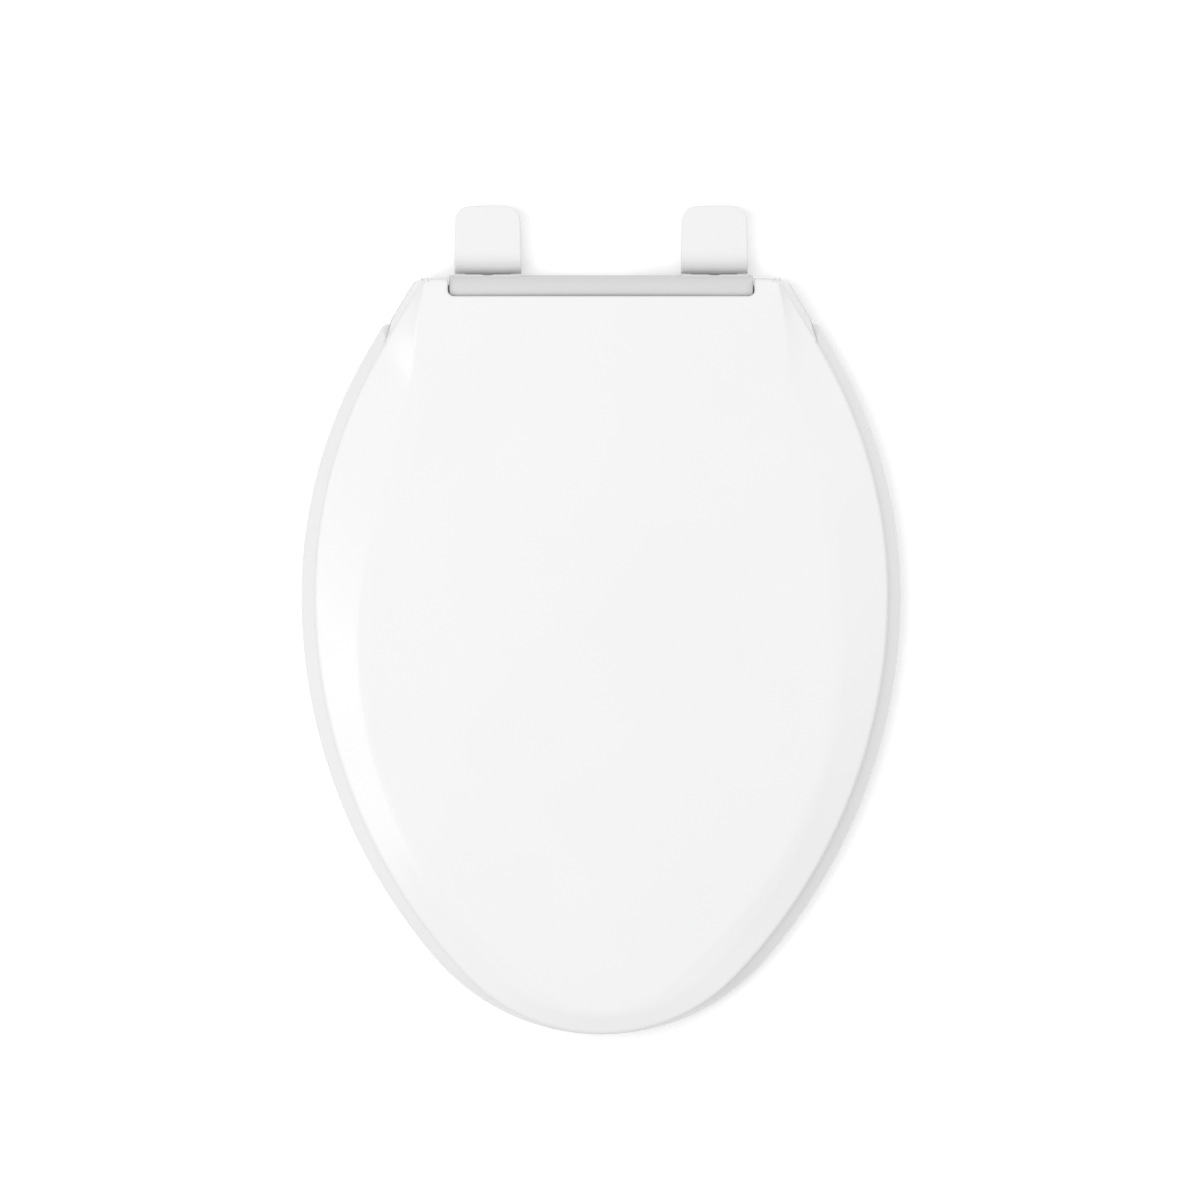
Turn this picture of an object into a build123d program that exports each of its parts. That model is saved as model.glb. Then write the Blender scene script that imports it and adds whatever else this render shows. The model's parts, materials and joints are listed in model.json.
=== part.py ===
"""Elongated toilet seat: lid, seat ring and slow-close hinge with two flip-up bolt covers.

Frame in mm: X to the right, Y to the rear, Z up. The origin lies midway between the two mounting
holes on the deck of the bowl. Everything in front of the hinge has negative Y.
"""

import math
import os

from build123d import *

# Mounting and hinge axis
BOLT_SPACING = 139.7
BOLT_HOLE_RADIUS = 4.5
AXIS_BEHIND_FRONT_OF_BOLTS = 30.9
AXIS_HEIGHT = 22.0
AXIS_Y = -AXIS_BEHIND_FRONT_OF_BOLTS

# Ring outline at its widest level
RING_HALF_WIDTH = 181.0
RING_WIDEST_REACH = 184.1
RING_FRONT_REACH = 448.9
RING_NOSE_SHARPER = 49.0
REAR_SHOULDER = 23.9
FLANK_STRAIGHT_REACH = 35.1
RING_REAR_REACH = 20.1
REAR_CORNER_RADIUS = 5.5

# Ring section
BUMPER_HEIGHT = 7.0
RING_BELLY_RISE = 6.0
RING_BEVEL_RISE = 14.0
RING_BELLY_INSET = 3.0
BEVEL_SIDE = 9.2
BEVEL_NOSE = 2.0
BEVEL_TOP_ROUND = 1.5
BEVEL_FOOT_RISE = 5.5
BEVEL_FOOT_INSET = 1.2
RING_BELLY_BAND = 1.6
RING_WALL = 4.0
RIB_COUNT = 22
RIB_THICKNESS = 2.6
RIB_SET_BACK = 3.0
DISH_DEPTH = 4.0
DISH_WIDTH = 42.0
SIDE_BAND_WIDTH = 73.0
FRONT_BAND_WIDTH = 68.5
OPENING_REAR_REACH = 87.1
OPENING_WIDEST_BACK = 2.5
OPENING_FRONT_SHARPER = 16.0
OPENING_REAR_SHARPER = 20.0
OPENING_EDGE_ROUND = 5.0

# Lid outline and skin
LID_OVER_RING_GAP = 1.0
LID_EDGE_INSET = -1.2
LID_NOSE_OVERHANG = 1.2
LID_NOSE_SHARPER = 1.6
LID_RIM_HEIGHT = 2.5
LID_RIM_WALL = 3.6
LID_SKIN = 3.6
LID_REAR_REACH = -6.6
LID_REAR_RISE = 14.6
CROWN_RISE = 4.0
CROWN_SHARE = 0.4547
CROWN_CROSS_RADIUS = 3500.0
REAR_SLOPE = 30.0
REAR_SLOPE_RISE = 11.2
REAR_SLOPE_ROUND = 15.0
WING_WIDTH = 29.7
WING_NOSE_WIDTH = 12.1
WING_NOSE_SHARPER = 30.0
PANEL_REAR_INSET = 1.0
PANEL_FLARE_AHEAD = 21.5
PANEL_FLARE_INSET = 19.5
PANEL_MIDDLE_SHARE = 0.703
PANEL_MIDDLE_INSET = 24.6
PANEL_WIDEST_SHARE = 0.131
WING_LIFT = 14.4
CREASE_SLACK = 0.3
CREASE_LEAN = 0.58
CREASE_LEVEL = 9.0
CROWN_MARGIN = 40.0
CROWN_DEPTH = 60.0
CROWN_HALF_ARC = 4.2
LID_EDGE_CHAMFER = 0.9
LID_EDGE_LEAN = 52.0

# Rear skirts of the lid
SKIRT_INSET = 2.4
SKIRT_DROP = 15.0
SKIRT_END_REACH = 31.1
SKIRT_END_SLANT = 14.0
SKIRT_GAP = 1.3
HOLLOW_RUN_OUT = 15.0

# Hinge barrel, lugs and ears, from the middle outwards
BARREL_RADIUS = 9.4
BARREL_HALF_LENGTH = 91.6
BARREL_END_CHAMFER = 0.5
LUG_RADIUS = 7.6
LUG_GAP = 0.8
LUG_WIDTH = 10.4
LUG_ARM_HEIGHT = 9.0
EAR_GAP = 1.2
EAR_WALL = 3.6
EAR_LUG_WIDTH = 4.4
EAR_SOLID_REACH = 11.0
LUG_RELIEF = 0.8
CUTOUT_REACH = 3.7
CUTOUT_GAP = 0.7
CUTOUT_CORNER = 3.6

# Damper cartridges in the barrel ends
CARTRIDGE_RADIUS = 7.0
CARTRIDGE_WALL = 1.6
CARTRIDGE_LENGTH = 40.0
CARTRIDGE_FLOOR = 2.0
CARTRIDGE_CLEARANCE = 0.1
CAP_THICKNESS = 4.0
CAP_SPIGOT = 2.5
CAP_SET_BACK = 0.2
GREASE_GAP = 0.3
SHAFT_RADIUS = 3.6
SHAFT_FLAT = 2.5
TIP_RADIUS = 2.4
RUNNING_CLEARANCE = 0.05
SEAL_WIDTH = 1.5
SEAL_GAP = 0.15
SEAL_CHAMFER = 0.3
SOCKET_DEPTH = 5.4
KEY_WIDTH = 2.4
KEY_HEIGHT = 1.0
DRUM_GROOVES = 4
GROOVE_WIDTH = 1.5

# Hinge feet and covers
FOOT_INWARD = 1.45
FOOT_WIDTH = 35.0
FOOT_FRONT = 9.4
FOOT_REAR = 9.5
FOOT_THICKNESS = 6.5
FOOT_CORNER = 3.0
PAD_THICKNESS = 1.5
PAD_INSET = 1.0
BOLT_RECESS_RADIUS = 8.0
BOLT_RECESS_DEPTH = 1.5
NECK_WIDTH = 28.0
NECK_BOTTOM = 5.5
NECK_TOP = 10.0
NECK_INTO_FOOT = 1.0
COVER_WIDTH = 40.6
COVER_TAPER = 0.8
LEDGE_REACH = 9.6
LEDGE_RISE = 4.5
LEDGE_SWEEP_GAP = 0.8
LEDGE_RIB_X = 18.2
LEDGE_RIB_WIDTH = 1.2
LEDGE_RIB_DEPTH = 0.6
LEDGE_NOTCH_RADIUS = 14.0
LEDGE_NOTCH_DEPTH = 0.6
COVER_FRONT_GAP = 0.8
COVER_REAR = 20.1
COVER_TOP = 22.0
COVER_ROLL_RADIUS = 15.0
COVER_ROLL_DEPTH = 14.3
COVER_LIP_LENGTH = 8.8
COVER_LIP_GAP = 0.8
COVER_WALL = 2.0
COVER_SKIRT_BOTTOM = 2.0
COVER_CORNER_RADIUS = 8.8
COVER_EDGE_ROUND = 1.0
PIVOT_Y = 13.0
PIVOT_Z = 8.5
PIVOT_RADIUS = 1.7
PIVOT_EYE_RADIUS = 3.5
PIVOT_EYE_INNER = 10.5
PIVOT_EYE_WIDTH = 3.6

# Buffers
RING_BUMPER_RADIUS = 10.0
RING_BUMPER_BOSS = 7.5
RING_BUMPER_STEM = 3.0
RING_BUMPER_STEM_LENGTH = 8.0
RING_BUMPER_FRONT_IN = 97.0
RING_BUMPER_FRONT_BACK = 69.5
RING_BUMPER_REAR_OUT = 6.5
RING_BUMPER_REAR_REACH = 91.1
LID_BUMPER_IN = 38.0
LID_BUMPER_SHARE = 0.435
LID_BUMPER_RADIUS = 6.0
LID_BUMPER_BOSS = 6.8
LID_BUMPER_STEM = 1.9
LID_BUMPER_STEM_LENGTH = 2.4
LID_BOSS_DROP = 1.5
LID_BUMPER_SEAT_GAP = 0.3
STEM_CLEARANCE = 0.1
BUMPER_CHAMFER = 1.0

# Levels and places that follow from the sizes above
RING_BOTTOM = BUMPER_HEIGHT
RING_BELLY = RING_BOTTOM + RING_BELLY_RISE
RING_TOP = RING_BELLY + RING_BEVEL_RISE
LID_RIM_BOTTOM = RING_TOP + LID_OVER_RING_GAP
LID_EDGE = LID_RIM_BOTTOM + LID_RIM_HEIGHT
SKIRT_BOTTOM = LID_RIM_BOTTOM - SKIRT_DROP
LID_REAR_TOP = AXIS_HEIGHT + LID_REAR_RISE
CROWN_TOP = LID_REAR_TOP + CROWN_RISE
CROWN_REACH = CROWN_SHARE * RING_FRONT_REACH
CROWN_LONG_RADIUS = CROWN_REACH**2 / (2 * CROWN_RISE)
LUG_INNER = BARREL_HALF_LENGTH + LUG_GAP
LUG_OUTER = LUG_INNER + LUG_WIDTH
EAR_INNER = LUG_OUTER + EAR_GAP
CUTOUT_HALF_WIDTH = BARREL_HALF_LENGTH + CUTOUT_GAP
CAP_FACE = BARREL_HALF_LENGTH - CAP_SET_BACK
BODY_END = CAP_FACE - CAP_THICKNESS
BODY_START = BODY_END - CARTRIDGE_LENGTH
SHAFT_END = EAR_INNER + SOCKET_DEPTH - 2 * GREASE_GAP
BOLT_X = BOLT_SPACING / 2
FOOT_X = BOLT_X - FOOT_INWARD
LEDGE_Y = AXIS_Y + LEDGE_REACH
LEDGE_SWEEP = math.hypot(LEDGE_REACH, LEDGE_RISE) + LEDGE_SWEEP_GAP
COVER_FRONT = LEDGE_Y + COVER_FRONT_GAP
FOOT_TOP = PAD_THICKNESS + FOOT_THICKNESS
ROLL_CENTRE_Y = COVER_FRONT + COVER_ROLL_DEPTH
ROLL_CENTRE_Z = COVER_TOP - COVER_ROLL_RADIUS
CHAMBER_RADIUS = CARTRIDGE_RADIUS - CARTRIDGE_WALL
SEAL_END = BODY_END - CAP_SPIGOT - SEAL_GAP
LID_BOSS_BOTTOM = LID_EDGE - LID_BOSS_DROP
FRONT_LENGTH = RING_FRONT_REACH - RING_WIDEST_REACH
OPENING_HALF_WIDTH = RING_HALF_WIDTH - SIDE_BAND_WIDTH
OPENING_FRONT_REACH = RING_FRONT_REACH - FRONT_BAND_WIDTH
OPENING_WIDEST_REACH = (OPENING_FRONT_REACH + OPENING_REAR_REACH) / 2 - OPENING_WIDEST_BACK
OPENING_FRONT_RADIUS = OPENING_HALF_WIDTH - OPENING_FRONT_SHARPER
OPENING_REAR_RADIUS = OPENING_HALF_WIDTH - OPENING_REAR_SHARPER
RING_NOSE_RADIUS = RING_HALF_WIDTH - RING_NOSE_SHARPER
RING_REAR_HALF_WIDTH = BARREL_HALF_LENGTH + REAR_SHOULDER
LID_HALF_WIDTH = RING_HALF_WIDTH - BEVEL_SIDE - LID_EDGE_INSET
LID_FRONT_REACH = RING_FRONT_REACH - BEVEL_NOSE + LID_NOSE_OVERHANG
PANEL_FLARE_REACH = FLANK_STRAIGHT_REACH + PANEL_FLARE_AHEAD
PANEL_MIDDLE_REACH = PANEL_MIDDLE_SHARE * RING_WIDEST_REACH
PANEL_WIDEST_REACH = RING_WIDEST_REACH + PANEL_WIDEST_SHARE * FRONT_LENGTH
RING_BUMPER_FRONT_X = RING_HALF_WIDTH - RING_BUMPER_FRONT_IN
RING_BUMPER_FRONT_REACH = RING_FRONT_REACH - RING_BUMPER_FRONT_BACK
RING_BUMPER_REAR_X = RING_REAR_HALF_WIDTH + RING_BUMPER_REAR_OUT
LID_BUMPER_X = LID_HALF_WIDTH - LID_BUMPER_IN
LID_BUMPER_REACH = RING_WIDEST_REACH + LID_BUMPER_SHARE * FRONT_LENGTH


def flank_turn(loss, arc_run, straight_run):
    """Angle at which an arc and the straight line that carries it on lose this much half width."""
    turn = math.atan2(loss, arc_run + straight_run)
    for _ in range(30):
        turn = turn * loss / (arc_run * math.tan(turn / 2) + straight_run * math.tan(turn))
    return turn


FLANK_TURN = flank_turn(
    RING_HALF_WIDTH - RING_REAR_HALF_WIDTH,
    RING_WIDEST_REACH - FLANK_STRAIGHT_REACH,
    FLANK_STRAIGHT_REACH - LID_REAR_REACH,
)
RING_FLANK_RADIUS = (RING_WIDEST_REACH - FLANK_STRAIGHT_REACH) / math.sin(FLANK_TURN)
LID_NOSE_RADIUS = RING_NOSE_RADIUS - 2 * BEVEL_SIDE - LID_NOSE_SHARPER
LID_FLANK_RADIUS = RING_FLANK_RADIUS


def reach_y(reach):
    """Y of a place that lies this far in front of the hinge axis."""
    return AXIS_Y - reach


def side_radius(half_width, reach, nose_radius):
    """Radius of the side arc that runs from the widest place into the nose arc."""
    return (half_width**2 + reach**2 - 2 * reach * nose_radius) / (2 * (half_width - nose_radius))


def flank_corner(half_width, widest_y, flank_radius, rear_y):
    """End of the flank arc, and the rear corner on the straight line that carries it on."""
    straight_y = reach_y(FLANK_STRAIGHT_REACH)
    turn = math.asin((straight_y - widest_y) / flank_radius)
    flank = (half_width - flank_radius * (1 - math.cos(turn)), straight_y)
    corner = (flank[0] - (rear_y - straight_y) * math.tan(turn), rear_y)
    return flank, corner


def draw_rear(corner, flank):
    """Right half of a rear end in the active line: straight edge, rounded corner, straight flank."""
    away = (flank[0] - corner[0], flank[1] - corner[1])
    length = math.hypot(*away)
    turn = math.atan2(-away[1], away[0])
    cut = REAR_CORNER_RADIUS * math.tan(turn / 2)
    leave = (corner[0] - cut, corner[1])
    meet = (corner[0] + cut * away[0] / length, corner[1] + cut * away[1] / length)
    Line((0, corner[1]), leave)
    TangentArc(leave, meet, tangent=(1, 0))
    Line(meet, flank)


def draw_nose(half_width, widest_y, front_y, nose_radius):
    """Right half of an oval end in the active line: side arc, then nose arc."""
    length = abs(widest_y - front_y)
    sign = 1 if front_y > widest_y else -1
    radius = side_radius(half_width, length, nose_radius)
    turn = math.degrees(math.atan2(length - nose_radius, radius - half_width))
    CenterArc((half_width - radius, widest_y), radius, 0, sign * turn)
    CenterArc((0, front_y - sign * nose_radius), nose_radius, sign * turn, sign * (90 - turn))


def seat_outline(half_width, widest_y, front_y, nose_radius, flank_radius, rear_y):
    """Edges of a closed seat outline."""
    flank, corner = flank_corner(half_width, widest_y, flank_radius, rear_y)
    turn = math.degrees(math.asin((flank[1] - widest_y) / flank_radius))
    with BuildLine() as outline:
        draw_rear(corner, flank)
        CenterArc((half_width - flank_radius, widest_y), flank_radius, 0, turn)
        draw_nose(half_width, widest_y, front_y, nose_radius)
        mirror(about=Plane.YZ)
    return outline.edges()


def ring_line(inset, rear_reach):
    """Ring outline at its widest level, drawn in by an inset."""
    return seat_outline(
        RING_HALF_WIDTH - inset,
        reach_y(RING_WIDEST_REACH),
        reach_y(RING_FRONT_REACH - inset),
        RING_NOSE_RADIUS - inset,
        RING_FLANK_RADIUS - inset,
        reach_y(rear_reach),
    )


def ring_top_line(inset, rear_reach):
    """Ring outline at the top of its bevel, which fades out towards the nose."""
    return seat_outline(
        RING_HALF_WIDTH - BEVEL_SIDE - inset,
        reach_y(RING_WIDEST_REACH),
        reach_y(RING_FRONT_REACH - BEVEL_NOSE - inset),
        RING_NOSE_RADIUS - 2 * BEVEL_SIDE - inset,
        RING_FLANK_RADIUS - inset,
        reach_y(rear_reach),
    )


def lid_edge_line(inset, rear_reach):
    """Outline of the lid's upper edge, drawn in by an inset."""
    return seat_outline(
        LID_HALF_WIDTH - inset,
        reach_y(RING_WIDEST_REACH),
        reach_y(LID_FRONT_REACH - inset),
        LID_NOSE_RADIUS - inset,
        LID_FLANK_RADIUS - inset,
        reach_y(rear_reach),
    )


def crown_height(x, y):
    """Height of the crowned panel, before its rear slope."""
    cross_sag = x**2 / (2 * CROWN_CROSS_RADIUS)
    long_sag = (y - reach_y(CROWN_REACH)) ** 2 / (2 * CROWN_LONG_RADIUS)
    return CROWN_TOP - cross_sag - long_sag


def carry_on(edge, panel, level, slack, lean):
    """Steps and point where a slope over a panel point, lowered and leaning less, has that level above the edge."""
    fall = crown_height(*panel) - LID_EDGE
    steps = (level - fall + slack) / (lean * fall)
    return steps, tuple(p + steps * (p - e) for e, p in zip(edge, panel))


def wing_line(rear_reach, level, slack=0, lean=1):
    """Outline, at a level above the lid's edge, of slopes that pass just below the panel's crease."""
    rear_y = reach_y(rear_reach)
    widest_y = reach_y(RING_WIDEST_REACH)
    flank, corner = flank_corner(LID_HALF_WIDTH, widest_y, LID_FLANK_RADIUS, rear_y)
    middle_y = reach_y((PANEL_MIDDLE_REACH + FLANK_STRAIGHT_REACH) / 2)
    middle_x = LID_HALF_WIDTH - LID_FLANK_RADIUS + math.sqrt(LID_FLANK_RADIUS**2 - (middle_y - widest_y) ** 2)
    front_y = reach_y(LID_FRONT_REACH)
    pairs = (
        (corner, (corner[0] - PANEL_REAR_INSET, rear_y)),
        (flank, (flank[0] - PANEL_FLARE_INSET, reach_y(PANEL_FLARE_REACH))),
        ((middle_x, middle_y), (middle_x - PANEL_MIDDLE_INSET, reach_y(PANEL_MIDDLE_REACH))),
        ((LID_HALF_WIDTH, widest_y), (LID_HALF_WIDTH - WING_WIDTH, reach_y(PANEL_WIDEST_REACH))),
        ((0, front_y), (0, front_y + WING_NOSE_WIDTH)),
    )
    carried = [carry_on(edge, panel, level, slack, lean) for edge, panel in pairs]
    rear, side, middle, widest, nose = [point for steps, point in carried]
    nose_radius = LID_NOSE_RADIUS - (1 + carried[-1][0]) * WING_NOSE_SHARPER
    leaving = (side[0] - rear[0], side[1] - rear[1])
    with BuildLine() as outline:
        draw_rear(rear, side)
        Spline(side, middle, widest, tangents=(leaving, (0, -1)))
        draw_nose(widest[0], widest[1], nose[1], nose_radius)
        mirror(about=Plane.YZ)
    return outline.edges()


def make_crown(drop):
    """Solid below the crowned top of the lid, sunk by a drop, with its rear slope rounded in."""
    foot = CROWN_LONG_RADIUS - drop
    half = RING_HALF_WIDTH + CROWN_MARGIN
    cross = CROWN_CROSS_RADIUS - drop
    sag = cross - math.sqrt(cross**2 - half**2)
    lean = math.radians(CROWN_HALF_ARC)
    centre = (0, reach_y(CROWN_REACH), CROWN_TOP - CROWN_LONG_RADIUS)
    start = Plane(centre, x_dir=(1, 0, 0), z_dir=(0, -math.cos(lean), math.sin(lean)))
    slope_y = AXIS_Y - LID_REAR_REACH
    slope_z = AXIS_HEIGHT + REAR_SLOPE_RISE - drop / math.cos(math.radians(REAR_SLOPE))
    rise = math.tan(math.radians(REAR_SLOPE))
    with BuildPart() as crown:
        with BuildSketch(start):
            with BuildLine():
                ThreePointArc((-half, foot - sag), (0, foot), (half, foot - sag))
                Polyline(
                    (half, foot - sag),
                    (half, foot - CROWN_DEPTH),
                    (-half, foot - CROWN_DEPTH),
                    (-half, foot - sag),
                )
            make_face()
        revolve(axis=Axis(centre, (1, 0, 0)), revolution_arc=2 * CROWN_HALF_ARC)
        with BuildSketch(Plane.YZ):
            with BuildLine():
                Polyline(
                    (slope_y + CROWN_DEPTH, slope_z - CROWN_DEPTH * rise),
                    (slope_y - CROWN_MARGIN, slope_z + CROWN_MARGIN * rise),
                    (slope_y + CROWN_DEPTH, slope_z + CROWN_MARGIN * rise),
                    close=True,
                )
            make_face()
        extrude(amount=2 * half, both=True, mode=Mode.SUBTRACT)
        crest = crown.edges().filter_by(Plane.YZ, reverse=True)
        crest = [e for e in crest if abs(e.center().Y - AXIS_Y) < 25 and e.center().Z > AXIS_HEIGHT]
        fillet(crest, REAR_SLOPE_ROUND - drop)
    return crown.part


def make_wings(inset, base, rear_reach):
    """Solid below the wings, which run on above the crowned panel."""
    with BuildPart() as wings:
        with BuildSketch(Plane.XY.offset(base)):
            make_face(lid_edge_line(inset, rear_reach))
        with BuildSketch(Plane.XY.offset(base + WING_LIFT)):
            make_face(wing_line(rear_reach, WING_LIFT))
        loft(ruled=True)
    return wings.part


def make_crease_limit():
    """Solid that eases the crease between wings and panel by a narrow strip."""
    with BuildPart() as limit:
        with BuildSketch(Plane.XY.offset(LID_EDGE)):
            make_face(wing_line(LID_REAR_REACH, 0, CREASE_SLACK, CREASE_LEAN))
        with BuildSketch(Plane.XY.offset(LID_EDGE + CREASE_LEVEL)):
            make_face(wing_line(LID_REAR_REACH, CREASE_LEVEL, CREASE_SLACK, CREASE_LEAN))
        loft(ruled=True)
        with BuildSketch(Plane.XY.offset(LID_EDGE + CREASE_LEVEL)):
            make_face(wing_line(LID_REAR_REACH, CREASE_LEVEL, CREASE_SLACK, CREASE_LEAN))
        extrude(amount=WING_LIFT)
    return limit.part


def make_lid_top(inset, drop, rear_reach, *limits):
    """Solid below wings and panel, standing on the lid's edge outline, within some limits."""
    crown = make_crown(drop)
    wings = make_wings(inset, LID_EDGE - drop, rear_reach)
    with BuildPart() as top:
        add(wings)
        add(crown, mode=Mode.INTERSECT)
        for limit in limits:
            add(limit, mode=Mode.INTERSECT)
    return top.part


def make_edge_limit():
    """Solid that chamfers the lid's upper edge."""
    shoulder = LID_EDGE - LID_EDGE_CHAMFER
    rise = WING_WIDTH * math.tan(math.radians(LID_EDGE_LEAN))
    with BuildPart() as limit:
        with BuildSketch(Plane.XY.offset(LID_RIM_BOTTOM)):
            make_face(lid_edge_line(0, LID_REAR_REACH))
        extrude(amount=shoulder - LID_RIM_BOTTOM)
        with BuildSketch(Plane.XY.offset(shoulder)):
            make_face(lid_edge_line(0, LID_REAR_REACH))
        with BuildSketch(Plane.XY.offset(shoulder + rise)):
            make_face(lid_edge_line(WING_WIDTH, LID_REAR_REACH))
        loft(ruled=True)
    return limit.part


def ear_side_line(rear_y):
    """Side view of a lid ear: square at the rear, slanted at the front."""
    front_y = reach_y(SKIRT_END_REACH)
    with BuildLine() as side_view:
        Polyline(
            (rear_y, SKIRT_BOTTOM),
            (front_y + SKIRT_END_SLANT, SKIRT_BOTTOM),
            (front_y, LID_RIM_BOTTOM),
            (front_y, CROWN_TOP),
            (rear_y, CROWN_TOP),
            close=True,
        )
    return side_view.edges()


def slant_line(gap):
    """Edges of the wedge that the slanted end of a skirt takes from the ring, with a gap."""
    top_y = reach_y(SKIRT_END_REACH) - gap
    with BuildLine() as wedge:
        Polyline(
            (top_y, LID_RIM_BOTTOM),
            (top_y + 2 * SKIRT_END_SLANT, LID_RIM_BOTTOM - 2 * SKIRT_DROP),
            (top_y + 2 * SKIRT_END_SLANT, LID_RIM_BOTTOM),
            close=True,
        )
    return wedge.edges()


def cover_plan(middle, inset):
    """Edges of a cover seen from above, narrower at the rear, drawn in by an inset."""
    front = COVER_WIDTH / 2 - inset
    rear = front - COVER_TAPER
    with BuildLine() as plan:
        Polyline(
            (middle - front, COVER_FRONT + inset),
            (middle + front, COVER_FRONT + inset),
            (middle + rear, COVER_REAR - inset),
            (middle - rear, COVER_REAR - inset),
            close=True,
        )
    return plan.edges()


def roll_height(radius, y):
    """Height of the cover's rolled front at a place along Y."""
    return ROLL_CENTRE_Z + math.sqrt(radius**2 - (ROLL_CENTRE_Y - y) ** 2)


def cover_side(inset, corners):
    """Edges of a cover's side view: rolled front, flat top, then the given lower corners."""
    radius = COVER_ROLL_RADIUS - inset
    front = COVER_FRONT + inset
    middle = front + 0.4 * (ROLL_CENTRE_Y - front)
    start = (front, roll_height(radius, front))
    end = (ROLL_CENTRE_Y, ROLL_CENTRE_Z + radius)
    with BuildLine() as view:
        ThreePointArc(start, (middle, roll_height(radius, middle)), end)
        Polyline(end, (COVER_REAR, COVER_TOP - inset), *corners, start)
    return view.edges()


def draw_shaft(radius, flat):
    """Round with two flats in the active sketch."""
    Circle(radius)
    Rectangle(2 * flat, 2 * radius, mode=Mode.INTERSECT)


def across(x):
    """Sketch plane that faces along X, centred on the hinge axis."""
    return Plane((x, AXIS_Y, AXIS_HEIGHT), x_dir=(0, 1, 0), z_dir=(1, 0, 0))


def opening_line(grow):
    """Edges of the oval opening, grown outwards."""
    widest_y = reach_y(OPENING_WIDEST_REACH)
    half = OPENING_HALF_WIDTH + grow
    with BuildLine() as outline:
        draw_nose(half, widest_y, reach_y(OPENING_FRONT_REACH + grow), OPENING_FRONT_RADIUS + grow)
        draw_nose(half, widest_y, reach_y(OPENING_REAR_REACH - grow), OPENING_REAR_RADIUS + grow)
        mirror(about=Plane.YZ)
    return outline.edges()


def make_dish(drop):
    """Shallow funnel above the ring that slopes its top down to the opening."""
    with BuildPart() as dish:
        with BuildSketch(Plane.XY.offset(RING_TOP - DISH_DEPTH - drop)):
            make_face(opening_line(0))
        with BuildSketch(Plane.XY.offset(RING_TOP + DISH_DEPTH - drop)):
            make_face(opening_line(2 * DISH_WIDTH))
        loft(ruled=True)
    return dish.part


RING_BUMPER_PLACES = {
    "front_right": (RING_BUMPER_FRONT_X, reach_y(RING_BUMPER_FRONT_REACH)),
    "front_left": (-RING_BUMPER_FRONT_X, reach_y(RING_BUMPER_FRONT_REACH)),
    "rear_right": (RING_BUMPER_REAR_X, reach_y(RING_BUMPER_REAR_REACH)),
    "rear_left": (-RING_BUMPER_REAR_X, reach_y(RING_BUMPER_REAR_REACH)),
}
LID_BUMPER_PLACES = {
    "right": (LID_BUMPER_X, reach_y(LID_BUMPER_REACH)),
    "left": (-LID_BUMPER_X, reach_y(LID_BUMPER_REACH)),
}

# Hollow below the ring, with ribs and bumper bosses left standing
dish_inside = make_dish(RING_WALL)
with BuildPart() as ring_hollow:
    with BuildSketch(Plane.XY.offset(RING_BOTTOM)):
        make_face(ring_line(RING_BELLY_INSET + RING_WALL, RING_REAR_REACH + RING_WALL))
    with BuildSketch(Plane.XY.offset(RING_BELLY)):
        make_face(ring_line(RING_WALL, RING_REAR_REACH + RING_WALL))
    loft(ruled=True)
    with BuildSketch(Plane.XY.offset(RING_BELLY)):
        make_face(ring_line(RING_WALL, RING_REAR_REACH + RING_WALL))
    with BuildSketch(Plane.XY.offset(RING_TOP - RING_WALL)):
        make_face(ring_top_line(RING_WALL / 2, RING_REAR_REACH + RING_WALL))
    loft(ruled=True)
    with BuildSketch(Plane.XY.offset(RING_BOTTOM)):
        make_face(opening_line(RING_WALL))
    extrude(amount=RING_TOP, mode=Mode.SUBTRACT)
    add(dish_inside, mode=Mode.SUBTRACT)
    with Locations((0, reach_y(OPENING_WIDEST_REACH), RING_BOTTOM + RIB_SET_BACK + RING_TOP / 2)):
        with PolarLocations(0, RIB_COUNT):
            Box(2 * RING_FRONT_REACH, RIB_THICKNESS, RING_TOP, mode=Mode.SUBTRACT)
    with BuildSketch(Plane.XY.offset(RING_BOTTOM)):
        with Locations(*RING_BUMPER_PLACES.values()):
            Circle(RING_BUMPER_BOSS)
    extrude(amount=RING_TOP, mode=Mode.SUBTRACT)
    with BuildSketch(Plane.YZ):
        make_face(slant_line(SKIRT_GAP + 1.4 * RING_WALL))
    extrude(amount=RING_HALF_WIDTH, both=True, mode=Mode.SUBTRACT)

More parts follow.
